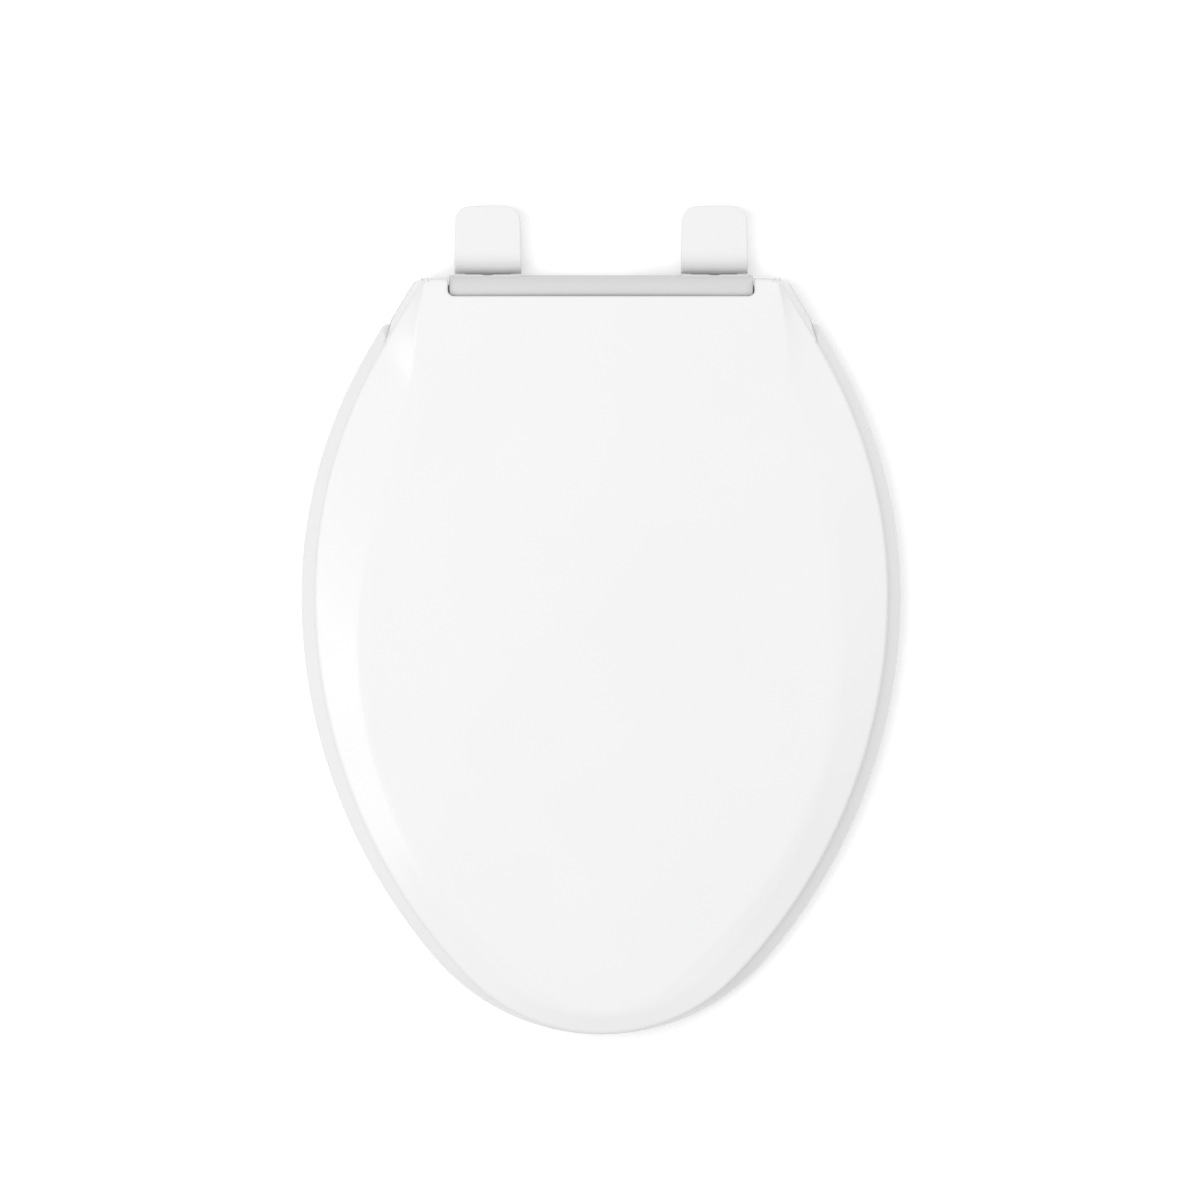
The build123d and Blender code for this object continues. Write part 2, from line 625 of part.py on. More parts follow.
# Seat ring
dish_top = make_dish(0)
with BuildPart() as seat_ring:
    with BuildSketch(Plane.XY.offset(RING_BOTTOM)):
        make_face(ring_line(RING_BELLY_INSET, RING_REAR_REACH))
    with BuildSketch(Plane.XY.offset(RING_BELLY - RING_BELLY_BAND / 2)):
        make_face(ring_line(0, RING_REAR_REACH))
    loft(ruled=True)
    with BuildSketch(Plane.XY.offset(RING_BELLY - RING_BELLY_BAND / 2)):
        make_face(ring_line(0, RING_REAR_REACH))
    extrude(amount=RING_BELLY_BAND)
    with BuildSketch(Plane.XY.offset(RING_BELLY + RING_BELLY_BAND / 2)):
        make_face(ring_line(0, RING_REAR_REACH))
    with BuildSketch(Plane.XY.offset(RING_BELLY + BEVEL_FOOT_RISE)):
        make_face(ring_line(BEVEL_FOOT_INSET, RING_REAR_REACH))
    loft(ruled=True)
    with BuildSketch(Plane.XY.offset(RING_BELLY + BEVEL_FOOT_RISE)):
        make_face(ring_line(BEVEL_FOOT_INSET, RING_REAR_REACH))
    with BuildSketch(Plane.XY.offset(RING_TOP)):
        make_face(ring_top_line(0, RING_REAR_REACH))
    loft(ruled=True)
    with BuildSketch(Plane.XY.offset(RING_BOTTOM)):
        make_face(opening_line(0))
    extrude(amount=RING_TOP, mode=Mode.SUBTRACT)
    add(dish_top, mode=Mode.SUBTRACT)
    ring_face = seat_ring.faces().filter_by(Axis.Z).sort_by(Axis.Z)[-1]
    fillet(ring_face.outer_wire().edges(), BEVEL_TOP_ROUND)
    dish_low = RING_TOP - DISH_DEPTH
    fillet(seat_ring.edges().filter_by_position(Axis.Z, dish_low, dish_low), OPENING_EDGE_ROUND)
    add(ring_hollow.part, mode=Mode.SUBTRACT)
    for side in (-1, 1):
        with BuildSketch(across(side * LUG_INNER)):
            Circle(LUG_RADIUS)
            with Locations((-RING_REAR_REACH - RING_WALL / 2, RING_TOP - AXIS_HEIGHT - LUG_ARM_HEIGHT)):
                Rectangle(RING_WALL, LUG_ARM_HEIGHT)
            make_hull()
        extrude(amount=side * LUG_WIDTH)
        with BuildSketch(Plane.YZ.offset(side * (LUG_OUTER + EAR_GAP / 2))):
            make_face(slant_line(SKIRT_GAP))
        extrude(amount=side * RING_HALF_WIDTH, mode=Mode.SUBTRACT)
    with BuildSketch(across(-LUG_OUTER - 1)):
        Circle(SHAFT_RADIUS + RUNNING_CLEARANCE)
    extrude(amount=LUG_WIDTH + 2, mode=Mode.SUBTRACT)
    with BuildSketch(across(LUG_INNER - 1)):
        draw_shaft(SHAFT_RADIUS + RUNNING_CLEARANCE, SHAFT_FLAT + RUNNING_CLEARANCE)
    extrude(amount=LUG_WIDTH + 2, mode=Mode.SUBTRACT)
    with Locations(*[(x, y, RING_BOTTOM) for x, y in RING_BUMPER_PLACES.values()]):
        Cylinder(
            RING_BUMPER_STEM + STEM_CLEARANCE,
            RING_BUMPER_STEM_LENGTH + STEM_CLEARANCE,
            align=(Align.CENTER, Align.CENTER, Align.MIN),
            mode=Mode.SUBTRACT,
        )
seat_ring.part.label = "seat_ring"

# Lid: shell under wings and panel, rear skirts with hinge ears, bosses for its buffers
lid_top = make_lid_top(0, 0, LID_REAR_REACH, make_crease_limit())
lid_hollow = make_lid_top(LID_RIM_WALL, LID_SKIN, LID_REAR_REACH - HOLLOW_RUN_OUT)
edge_limit = make_edge_limit()
with BuildPart() as ear_blocks:
    for side in (-1, 1):
        with BuildSketch(Plane.YZ.offset(side * EAR_INNER)):
            make_face(ear_side_line(reach_y(LID_REAR_REACH)))
        extrude(amount=side * RING_HALF_WIDTH)
with BuildPart() as lid_skirt:
    with BuildSketch(Plane.XY.offset(SKIRT_BOTTOM)):
        make_face(ring_line(SKIRT_INSET, LID_REAR_REACH))
    with BuildSketch(Plane.XY.offset(LID_EDGE)):
        make_face(lid_edge_line(0, LID_REAR_REACH))
    loft(ruled=True)
    add(lid_top)
    add(ear_blocks.part, mode=Mode.INTERSECT)
with BuildPart() as ear_pockets:
    with BuildSketch(Plane.XY.offset(SKIRT_BOTTOM)):
        make_face(ring_line(SKIRT_INSET + LID_RIM_WALL, LID_REAR_REACH))
    with BuildSketch(Plane.XY.offset(LID_EDGE - LID_SKIN)):
        make_face(lid_edge_line(LID_RIM_WALL, LID_REAR_REACH))
    loft(ruled=True)
    add(lid_hollow)
    with Locations((0, reach_y(EAR_SOLID_REACH), 0)):
        Box(2 * (EAR_INNER + EAR_WALL), 3 * RING_FRONT_REACH, 4 * CROWN_TOP, mode=Mode.SUBTRACT)
        Box(
            3 * RING_HALF_WIDTH,
            RING_FRONT_REACH,
            4 * CROWN_TOP,
            align=(Align.CENTER, Align.MIN, Align.CENTER),
            mode=Mode.SUBTRACT,
        )
with BuildPart() as lid_block:
    with BuildSketch(Plane.XY.offset(LID_RIM_BOTTOM)):
        make_face(lid_edge_line(0, LID_REAR_REACH))
    extrude(amount=LID_RIM_HEIGHT)
    add(lid_top)
    add(edge_limit, mode=Mode.INTERSECT)
with BuildPart() as lid_bosses:
    with Locations(*[(x, y, LID_BOSS_BOTTOM) for x, y in LID_BUMPER_PLACES.values()]):
        Cylinder(LID_BUMPER_BOSS, CROWN_TOP, align=(Align.CENTER, Align.CENTER, Align.MIN))
    add(lid_block.part, mode=Mode.INTERSECT)
with BuildPart() as lid:
    add(lid_block.part)
    add(lid_hollow, mode=Mode.SUBTRACT)
    add(lid_skirt.part)
    add(ear_pockets.part, mode=Mode.SUBTRACT)
    add(lid_bosses.part)
    for side in (-1, 1):
        with BuildSketch(across(side * EAR_INNER)):
            Circle(LUG_RADIUS)
        extrude(amount=side * EAR_LUG_WIDTH)
    with BuildSketch(Plane.XY) as cutout:
        with Locations((0, reach_y(CUTOUT_REACH))):
            Rectangle(2 * CUTOUT_HALF_WIDTH, BOLT_SPACING, align=(Align.CENTER, Align.MIN))
        fillet(cutout.vertices().group_by(Axis.Y)[0], CUTOUT_CORNER)
    extrude(amount=2 * CROWN_TOP, mode=Mode.SUBTRACT)
    with BuildSketch(across(-CUTOUT_HALF_WIDTH)):
        Circle(LEDGE_SWEEP)
    extrude(amount=2 * CUTOUT_HALF_WIDTH, mode=Mode.SUBTRACT)
    for side in (-1, 1):
        with BuildSketch(across(side * CUTOUT_HALF_WIDTH)):
            Circle(LUG_RADIUS + LUG_RELIEF)
        extrude(amount=side * (EAR_INNER - CUTOUT_HALF_WIDTH), mode=Mode.SUBTRACT)
    with BuildSketch(across(-EAR_INNER)):
        draw_shaft(SHAFT_RADIUS + RUNNING_CLEARANCE, SHAFT_FLAT + RUNNING_CLEARANCE)
    extrude(amount=-SOCKET_DEPTH, mode=Mode.SUBTRACT)
    with BuildSketch(across(EAR_INNER)):
        Circle(TIP_RADIUS + RUNNING_CLEARANCE)
    extrude(amount=SOCKET_DEPTH, mode=Mode.SUBTRACT)
    with Locations(*[(x, y, LID_BOSS_BOTTOM) for x, y in LID_BUMPER_PLACES.values()]):
        Cylinder(
            LID_BUMPER_STEM + STEM_CLEARANCE,
            LID_BUMPER_STEM_LENGTH + STEM_CLEARANCE,
            align=(Align.CENTER, Align.CENTER, Align.MIN),
            mode=Mode.SUBTRACT,
        )
lid.part.label = "lid"

# Hinge barrel with its two feet, one moulding
with BuildPart() as hinge_bar:
    with BuildSketch(across(-BARREL_HALF_LENGTH)):
        Circle(BARREL_RADIUS)
    extrude(amount=2 * BARREL_HALF_LENGTH)
    chamfer(hinge_bar.edges().filter_by(GeomType.CIRCLE), BARREL_END_CHAMFER)
    for side in (-1, 1):
        with BuildSketch(Plane.YZ.offset(side * FOOT_X)):
            with BuildLine():
                Polyline(
                    (AXIS_Y, AXIS_HEIGHT + LEDGE_RISE),
                    (LEDGE_Y, AXIS_HEIGHT + LEDGE_RISE),
                    (LEDGE_Y, AXIS_HEIGHT - LEDGE_RISE),
                    (AXIS_Y, AXIS_HEIGHT - 2 * LEDGE_RISE),
                    close=True,
                )
            make_face()
        extrude(amount=COVER_WIDTH / 2, both=True)
        with BuildSketch(Plane.XY.offset(AXIS_HEIGHT - LEDGE_RISE)):
            with Locations((side * FOOT_X, LEDGE_Y - LEDGE_NOTCH_DEPTH + LEDGE_NOTCH_RADIUS)):
                Circle(LEDGE_NOTCH_RADIUS)
        extrude(amount=2 * LEDGE_RISE, mode=Mode.SUBTRACT)
        with BuildSketch(Plane.XY.offset(AXIS_HEIGHT - LEDGE_RISE)):
            with Locations((side * FOOT_X - LEDGE_RIB_X, LEDGE_Y), (side * FOOT_X + LEDGE_RIB_X, LEDGE_Y)):
                Rectangle(LEDGE_RIB_WIDTH, 2 * LEDGE_RIB_DEPTH)
        extrude(amount=2 * LEDGE_RISE - LEDGE_RIB_DEPTH)
        with BuildSketch(Plane.XY.offset(PAD_THICKNESS)):
            with Locations((side * FOOT_X, (FOOT_REAR - FOOT_FRONT) / 2)):
                RectangleRounded(FOOT_WIDTH, FOOT_FRONT + FOOT_REAR, FOOT_CORNER)
        extrude(amount=FOOT_THICKNESS)
        with BuildSketch(Plane.YZ.offset(side * FOOT_X)):
            with BuildLine():
                Polyline(
                    (AXIS_Y, AXIS_HEIGHT - 0.6 * BARREL_RADIUS),
                    (AXIS_Y + 0.85 * BARREL_RADIUS, AXIS_HEIGHT - 0.4 * BARREL_RADIUS),
                    (AXIS_Y + 0.95 * BARREL_RADIUS, NECK_TOP),
                    (NECK_INTO_FOOT - FOOT_FRONT, NECK_TOP),
                    (NECK_INTO_FOOT - FOOT_FRONT, NECK_BOTTOM),
                    (AXIS_Y + 0.65 * BARREL_RADIUS, NECK_BOTTOM),
                    (AXIS_Y, AXIS_HEIGHT - 1.15 * BARREL_RADIUS),
                    close=True,
                )
            make_face()
        extrude(amount=NECK_WIDTH / 2, both=True)
        for hand in (-1, 1):
            eye_x = side * FOOT_X + hand * PIVOT_EYE_INNER
            with BuildSketch(Plane.YZ.offset(eye_x)):
                with Locations((PIVOT_Y, PIVOT_Z)):
                    Circle(PIVOT_EYE_RADIUS)
                with Locations((FOOT_REAR - FOOT_CORNER, PAD_THICKNESS + FOOT_THICKNESS / 2)):
                    Rectangle(FOOT_CORNER, FOOT_THICKNESS)
                make_hull()
            extrude(amount=hand * PIVOT_EYE_WIDTH)
            with BuildSketch(Plane.YZ.offset(eye_x)):
                with Locations((PIVOT_Y, PIVOT_Z)):
                    Circle(PIVOT_RADIUS + RUNNING_CLEARANCE)
            extrude(amount=hand * PIVOT_EYE_WIDTH, mode=Mode.SUBTRACT)
        with Locations((side * BOLT_X, 0, FOOT_TOP)):
            CounterBoreHole(BOLT_HOLE_RADIUS, BOLT_RECESS_RADIUS, BOLT_RECESS_DEPTH, depth=FOOT_TOP)
        with BuildSketch(across(side * (BODY_START - CARTRIDGE_CLEARANCE))):
            Circle(CARTRIDGE_RADIUS + CARTRIDGE_CLEARANCE)
            with Locations((0, -CARTRIDGE_RADIUS)):
                Rectangle(KEY_WIDTH + 2 * CARTRIDGE_CLEARANCE, 2 * (KEY_HEIGHT + CARTRIDGE_CLEARANCE))
        extrude(amount=side * BARREL_HALF_LENGTH, mode=Mode.SUBTRACT)
hinge_bar.part.label = "hinge_bar"

os.makedirs("parts", exist_ok=True)
export_step(seat_ring.part, "parts/seat_ring.step")
export_step(lid.part, "parts/lid.step")
export_step(hinge_bar.part, "parts/hinge_bar.step")

# Rubber pads below the feet
for side, hand in ((-1, "left"), (1, "right")):
    with BuildPart() as foot_pad:
        with BuildSketch():
            with Locations((side * FOOT_X, (FOOT_REAR - FOOT_FRONT) / 2)):
                RectangleRounded(
                    FOOT_WIDTH - 2 * PAD_INSET,
                    FOOT_FRONT + FOOT_REAR - 2 * PAD_INSET,
                    FOOT_CORNER,
                )
            with Locations((side * BOLT_X, 0)):
                Circle(BOLT_HOLE_RADIUS, mode=Mode.SUBTRACT)
        extrude(amount=PAD_THICKNESS)
    foot_pad.part.label = f"foot_pad_{hand}"
    export_step(foot_pad.part, f"parts/foot_pad_{hand}.step")

# Flip-up covers over the bolts
for side, hand in ((-1, "left"), (1, "right")):
    middle = side * FOOT_X
    with BuildPart() as cover_hollow:
        with BuildSketch() as plan:
            make_face(cover_plan(middle, COVER_WALL))
            fillet(plan.vertices().group_by(Axis.Y)[-1], COVER_CORNER_RADIUS - COVER_WALL)
        extrude(amount=COVER_TOP)
        with BuildSketch(Plane.YZ.offset(middle)):
            make_face(cover_side(COVER_WALL, ((COVER_REAR, 0), (COVER_FRONT + COVER_WALL, 0))))
        extrude(amount=COVER_WIDTH, both=True, mode=Mode.INTERSECT)
    with BuildPart() as hinge_cover:
        with BuildSketch() as plan:
            make_face(cover_plan(middle, 0))
            fillet(plan.vertices().group_by(Axis.Y)[-1], COVER_CORNER_RADIUS)
        extrude(amount=COVER_TOP)
        with BuildSketch(Plane.YZ.offset(middle)):
            make_face(
                cover_side(
                    0,
                    (
                        (COVER_REAR, PIVOT_Z),
                        (PIVOT_Y, PIVOT_Z),
                        (PIVOT_Y - PIVOT_EYE_RADIUS, COVER_SKIRT_BOTTOM),
                        (COVER_FRONT + COVER_LIP_LENGTH, COVER_SKIRT_BOTTOM),
                        (COVER_FRONT + COVER_LIP_LENGTH, NECK_TOP + COVER_LIP_GAP),
                        (COVER_FRONT, NECK_TOP + COVER_LIP_GAP),
                    ),
                )
            )
        extrude(amount=COVER_WIDTH, both=True, mode=Mode.INTERSECT)
        top_edges = hinge_cover.faces().sort_by(Axis.Z)[-1].edges()
        fillet([e for e in top_edges if e.center().Y > ROLL_CENTRE_Y + COVER_EDGE_ROUND], COVER_EDGE_ROUND)
        add(cover_hollow.part, mode=Mode.SUBTRACT)
        for end in (-1, 1):
            with BuildSketch(Plane.YZ.offset(middle + end * PIVOT_EYE_INNER)):
                with Locations((PIVOT_Y, PIVOT_Z)):
                    Circle(PIVOT_RADIUS)
            extrude(amount=end * (COVER_WIDTH / 2 - COVER_WALL - PIVOT_EYE_INNER))
    hinge_cover.part.label = f"hinge_cover_{hand}"
    export_step(hinge_cover.part, f"parts/hinge_cover_{hand}.step")

# Slow-close cartridges: the left one brakes the lid, the right one the ring
for side, moved in ((-1, "lid"), (1, "ring")):
    with BuildPart() as damper_body:
        with BuildSketch(across(side * BODY_START)):
            Circle(CARTRIDGE_RADIUS)
            with Locations((0, -CARTRIDGE_RADIUS)):
                Rectangle(KEY_WIDTH, 2 * KEY_HEIGHT)
        extrude(amount=side * CARTRIDGE_LENGTH)
        with BuildSketch(across(side * (BODY_START + CARTRIDGE_FLOOR))):
            Circle(CHAMBER_RADIUS)
        extrude(amount=side * CARTRIDGE_LENGTH, mode=Mode.SUBTRACT)
    damper_body.part.label = f"{moved}_damper_body"
    export_step(damper_body.part, f"parts/{moved}_damper_body.step")

    with BuildPart() as damper_cap:
        with BuildSketch(across(side * BODY_END)):
            Circle(CARTRIDGE_RADIUS)
        extrude(amount=side * CAP_THICKNESS)
        with BuildSketch(across(side * (BODY_END - CAP_SPIGOT))):
            Circle(CHAMBER_RADIUS - CARTRIDGE_CLEARANCE)
        extrude(amount=side * CAP_SPIGOT)
        with BuildSketch(across(side * (BODY_END - CAP_SPIGOT))):
            Circle(SHAFT_RADIUS + RUNNING_CLEARANCE)
        extrude(amount=side * (CAP_SPIGOT + CAP_THICKNESS), mode=Mode.SUBTRACT)
    damper_cap.part.label = f"{moved}_damper_cap"
    export_step(damper_cap.part, f"parts/{moved}_damper_cap.step")

    with BuildPart() as damper_seal:
        with BuildSketch(across(side * SEAL_END)):
            Circle(CHAMBER_RADIUS - SEAL_GAP)
            Circle(SHAFT_RADIUS + SEAL_GAP, mode=Mode.SUBTRACT)
        extrude(amount=-side * SEAL_WIDTH)
        chamfer(damper_seal.edges().filter_by(GeomType.CIRCLE), SEAL_CHAMFER)
    damper_seal.part.label = f"{moved}_damper_seal"
    export_step(damper_seal.part, f"parts/{moved}_damper_seal.step")

    drum_start = BODY_START + CARTRIDGE_FLOOR + GREASE_GAP
    drum_end = SEAL_END - SEAL_WIDTH - GREASE_GAP
    flats_start = LUG_OUTER + EAR_GAP / 2 if moved == "lid" else LUG_INNER - LUG_GAP / 2
    flats_end = SHAFT_END if moved == "lid" else LUG_OUTER
    with BuildPart() as damper_rotor:
        with BuildSketch(across(side * drum_start)):
            Circle(CHAMBER_RADIUS - GREASE_GAP)
        extrude(amount=side * (drum_end - drum_start))
        with BuildSketch(across(side * drum_end)):
            Circle(SHAFT_RADIUS)
        extrude(amount=side * (flats_start - drum_end))
        with BuildSketch(across(side * flats_start)):
            draw_shaft(SHAFT_RADIUS, SHAFT_FLAT)
        extrude(amount=side * (flats_end - flats_start))
        if moved == "ring":
            with BuildSketch(across(side * flats_end)):
                Circle(TIP_RADIUS)
            extrude(amount=side * (SHAFT_END - flats_end))
        for groove in range(1, DRUM_GROOVES + 1):
            groove_x = drum_start + groove * (drum_end - drum_start) / (DRUM_GROOVES + 1)
            with BuildSketch(across(side * groove_x)):
                Circle(CHAMBER_RADIUS)
                Circle(SHAFT_RADIUS, mode=Mode.SUBTRACT)
            extrude(amount=side * GROOVE_WIDTH, mode=Mode.SUBTRACT)
    damper_rotor.part.label = f"{moved}_damper_rotor"
    export_step(damper_rotor.part, f"parts/{moved}_damper_rotor.step")

# Buffers: stems up into their bosses, pads below
for place, (x, y) in RING_BUMPER_PLACES.items():
    with BuildPart() as ring_bumper:
        with BuildSketch():
            with Locations((x, y)):
                Circle(RING_BUMPER_RADIUS)
        extrude(amount=BUMPER_HEIGHT)
        chamfer(ring_bumper.edges().group_by(Axis.Z)[0], BUMPER_CHAMFER)
        with BuildSketch(Plane.XY.offset(RING_BOTTOM)):
            with Locations((x, y)):
                Circle(RING_BUMPER_STEM)
        extrude(amount=RING_BUMPER_STEM_LENGTH)
    ring_bumper.part.label = f"ring_bumper_{place}"
    export_step(ring_bumper.part, f"parts/ring_bumper_{place}.step")

for hand, (x, y) in LID_BUMPER_PLACES.items():
    with BuildPart() as lid_bumper:
        with BuildSketch(Plane.XY.offset(RING_TOP + LID_BUMPER_SEAT_GAP)):
            with Locations((x, y)):
                Circle(LID_BUMPER_RADIUS)
        extrude(amount=LID_BOSS_BOTTOM - RING_TOP - LID_BUMPER_SEAT_GAP)
        chamfer(lid_bumper.edges().group_by(Axis.Z)[0], BUMPER_CHAMFER)
        with BuildSketch(Plane.XY.offset(LID_BOSS_BOTTOM)):
            with Locations((x, y)):
                Circle(LID_BUMPER_STEM)
        extrude(amount=LID_BUMPER_STEM_LENGTH)
    lid_bumper.part.label = f"lid_bumper_{hand}"
    export_step(lid_bumper.part, f"parts/lid_bumper_{hand}.step")
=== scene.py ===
import json
import math

import bmesh
import bpy
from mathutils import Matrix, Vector


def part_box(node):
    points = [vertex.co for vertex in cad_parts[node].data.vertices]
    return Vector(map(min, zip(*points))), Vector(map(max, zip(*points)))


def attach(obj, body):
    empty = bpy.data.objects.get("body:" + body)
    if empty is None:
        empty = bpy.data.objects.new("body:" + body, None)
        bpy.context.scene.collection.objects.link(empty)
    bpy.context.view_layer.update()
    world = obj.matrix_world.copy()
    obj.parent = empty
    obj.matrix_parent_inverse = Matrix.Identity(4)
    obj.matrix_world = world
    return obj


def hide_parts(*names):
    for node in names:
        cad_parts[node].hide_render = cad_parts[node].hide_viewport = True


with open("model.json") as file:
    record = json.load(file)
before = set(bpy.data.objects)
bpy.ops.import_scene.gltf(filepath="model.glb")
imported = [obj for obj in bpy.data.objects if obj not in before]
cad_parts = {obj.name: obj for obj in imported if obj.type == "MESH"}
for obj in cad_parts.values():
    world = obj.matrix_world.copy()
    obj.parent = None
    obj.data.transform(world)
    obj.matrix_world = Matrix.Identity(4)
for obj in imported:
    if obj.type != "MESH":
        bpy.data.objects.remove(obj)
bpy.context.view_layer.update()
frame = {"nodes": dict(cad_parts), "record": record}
MM = 0.001

# Photograph: straight down on the closed seat
IMAGE_PIXELS = 1200
PHOTO_MM_PER_PIXEL = 0.604
PHOTO_LEVEL = 13 * MM
PHOTO_MIDDLE_X = -0.7 * MM
PHOTO_MIDDLE_Y = -217.5 * MM
CAMERA_HEIGHT = 6000 * MM
SENSOR_MM = 36.0

# Studio: the floor lies just under the feet, so that no two faces share a place
FLOOR_LEVEL = -0.2 * MM
FLOOR_REACH = 6.0
FLOOR_TONE = (0.7, 0.7, 0.7, 1)
FLOOR_GLOW = 1.75
FLOOR_PAPER_SHARE = 0.76
SKY_LEVEL = 0.6
PURE_WHITE = (1, 1, 1, 1)
RAYS_THAT_SEE = ("Camera", "Glossy", "Transmission")

# Lamps: place, width and height in metres, power in watts, and whether the gloss mirrors them
LAMP_TARGET = Vector((0, -0.22, 0))
LAMPS = {
    "softbox_left": ((-1.9, -0.4, 2.6), 2.1, 0.9, 13.5, True),
    "softbox_above": ((-1.1, -0.3, 3.0), 1.5, 1.5, 29.5, False),
    "softbox_rear_right": ((2.0, 1.5, 1.6), 1.2, 1.2, 18, False),
}

# Turning of the rubber buffers
TURN_STEPS = 48
MERGE = 0.001 * MM
RIM_ANGLE = math.radians(25)
SHARP_ANGLE = math.radians(40)
BUFFER_EDGE_ROUND = 0.25 * MM
BUFFER_EDGE_STEPS = 3

# Sockets of a colour Mix node, which share their names with others of that node
MIX_FACTOR, MIX_FIRST, MIX_SECOND, MIX_RESULT = 0, 6, 7, 2
EDGE_SAMPLES = 8


class Tone:
    """A socket of a finish's nodes. Arithmetic on it adds Math nodes."""

    def __init__(self, finish, socket):
        self.finish = finish
        self.socket = socket

    def combine(self, operation, first, second):
        return self.finish.node("ShaderNodeMath", {"operation": operation}, {0: first, 1: second})

    def __add__(self, other):
        return self.combine("ADD", self, other)

    def __mul__(self, other):
        return self.combine("MULTIPLY", self, other)


class Finish:
    """The nodes of a material, or of the studio's world."""

    def __init__(self, owner):
        self.owner = owner
        self.owner.use_nodes = True
        self.tree = self.owner.node_tree
        self.tree.nodes.clear()

    def node(self, kind, settings, sockets, output=0):
        """One node: its settings first, then the values or links of its sockets."""
        made = self.tree.nodes.new(kind)
        for key, value in settings.items():
            if key == "stops":
                for stop, (place, shade) in zip(made.color_ramp.elements, value):
                    stop.position = place
                    stop.color = (shade, shade, shade, 1)
            else:
                setattr(made, key, value)
        for key, value in sockets.items():
            if isinstance(value, Tone):
                self.tree.links.new(value.socket, made.inputs[key])
            else:
                made.inputs[key].default_value = value
        return Tone(self, made.outputs[output]) if len(made.outputs) else None

    def place(self):
        return self.node("ShaderNodeTexCoord", {}, {}, "Object")

    def cloud(self, grain_mm, detail, rough=0.5):
        """Noise between 0 and 1 whose lumps are about as large as the grain."""
        return self.node("ShaderNodeTexNoise", {}, {
            "Vector": self.place(),
            "Scale": 1 / (grain_mm * MM),
            "Detail": detail,
            "Roughness": rough,
        })

    def ramp(self, factor, low, high):
        """0 up to the low value, 1 from the high value on."""
        stops = ((low, 0.0), (high, 1.0))
        return self.node("ShaderNodeValToRGB", {"stops": stops}, {"Fac": factor})

    def blend(self, factor, first, second):
        sockets = {MIX_FACTOR: factor, MIX_FIRST: (*first, 1), MIX_SECOND: (*second, 1)}
        return self.node("ShaderNodeMix", {"data_type": "RGBA"}, sockets, MIX_RESULT)

    def bump(self, height, distance_mm, strength, edge_mm):
        """Relief of the skin, on edges that the mould leaves softly rounded."""
        edge = self.node("ShaderNodeBevel", {"samples": EDGE_SAMPLES}, {"Radius": edge_mm * MM})
        return self.node("ShaderNodeBump", {}, {
            "Height": height,
            "Distance": distance_mm * MM,
            "Strength": strength,
            "Normal": edge,
        })

    def seen(self):
        """1 for rays of the camera, mirror rays and rays through glass."""
        first, second, third = (
            self.node("ShaderNodeLightPath", {}, {}, f"Is {kind} Ray") for kind in RAYS_THAT_SEE
        )
        return first.combine("MAXIMUM", first.combine("MAXIMUM", first, second), third)

    def shade(self, sockets):
        """Finish the material with a Principled shader and hand it over."""
        shader = self.node("ShaderNodeBsdfPrincipled", {}, sockets)
        self.node("ShaderNodeOutputMaterial", {}, {"Surface": shader})
        return self.owner


def gloss_plastic(name, colour, tint, roughness, edge_mm):
    """Moulded glossy plastic: clouding, a fine ripple from the tool and a few dull touch marks."""
    finish = Finish(bpy.data.materials.new(name))
    clouding = finish.ramp(finish.cloud(grain_mm=70, detail=3.0), low=0.35, high=0.7)
    touch = finish.ramp(finish.cloud(grain_mm=24, detail=5.0, rough=0.65), low=0.58, high=0.75)
    ripple = finish.cloud(grain_mm=1.6, detail=1.0)
    swell = finish.cloud(grain_mm=38, detail=1.0)
    height = ripple * 0.35 + swell
    return finish.shade({
        "Base Color": finish.blend(clouding * 0.6, colour, tint),
        "Roughness": clouding * 0.03 + touch * 0.05 + roughness,
        "Normal": finish.bump(height, distance_mm=0.05, strength=0.12, edge_mm=edge_mm),
        "IOR": 1.5,
    })


def matte_plastic(name, colour, tint, roughness):
    """Plain technical plastic with the fine sparked skin of its tool."""
    finish = Finish(bpy.data.materials.new(name))
    skin = finish.cloud(grain_mm=0.5, detail=2.0)
    clouding = finish.ramp(finish.cloud(grain_mm=9, detail=3.0), low=0.35, high=0.7)
    return finish.shade({
        "Base Color": finish.blend(clouding, colour, tint),
        "Roughness": skin * 0.12 + roughness,
        "Normal": finish.bump(skin, distance_mm=0.05, strength=0.3, edge_mm=0.3),
    })


def rubber(name, colour, tint):
    """Soft elastomer: dull, with a bloom in patches and a fine grain."""
    finish = Finish(bpy.data.materials.new(name))
    bloom = finish.ramp(finish.cloud(grain_mm=6, detail=4.0, rough=0.6), low=0.4, high=0.72)
    grain = finish.cloud(grain_mm=0.35, detail=2.0)
    return finish.shade({
        "Base Color": finish.blend(bloom, colour, tint),
        "Roughness": bloom * 0.15 + grain * 0.1 + 0.55,
        "Normal": finish.bump(grain, distance_mm=0.06, strength=0.35, edge_mm=0.4),
    })


WHITE = (0.866, 0.866, 0.866)
WHITE_SHADE = (0.847, 0.848, 0.849)
# Painted shade: the hinge bar is white plastic, and this grey darkens the whole moulding to stand in
# for the shade in its recess between lid and covers.
BARREL_GREY_PAINTED_SHADE = (0.665, 0.665, 0.665)
BARREL_TINT_PAINTED_SHADE = (0.636, 0.637, 0.638)
COVER_WHITE = (0.85, 0.85, 0.85)
COVER_WHITE_SHADE = (0.832, 0.833, 0.834)

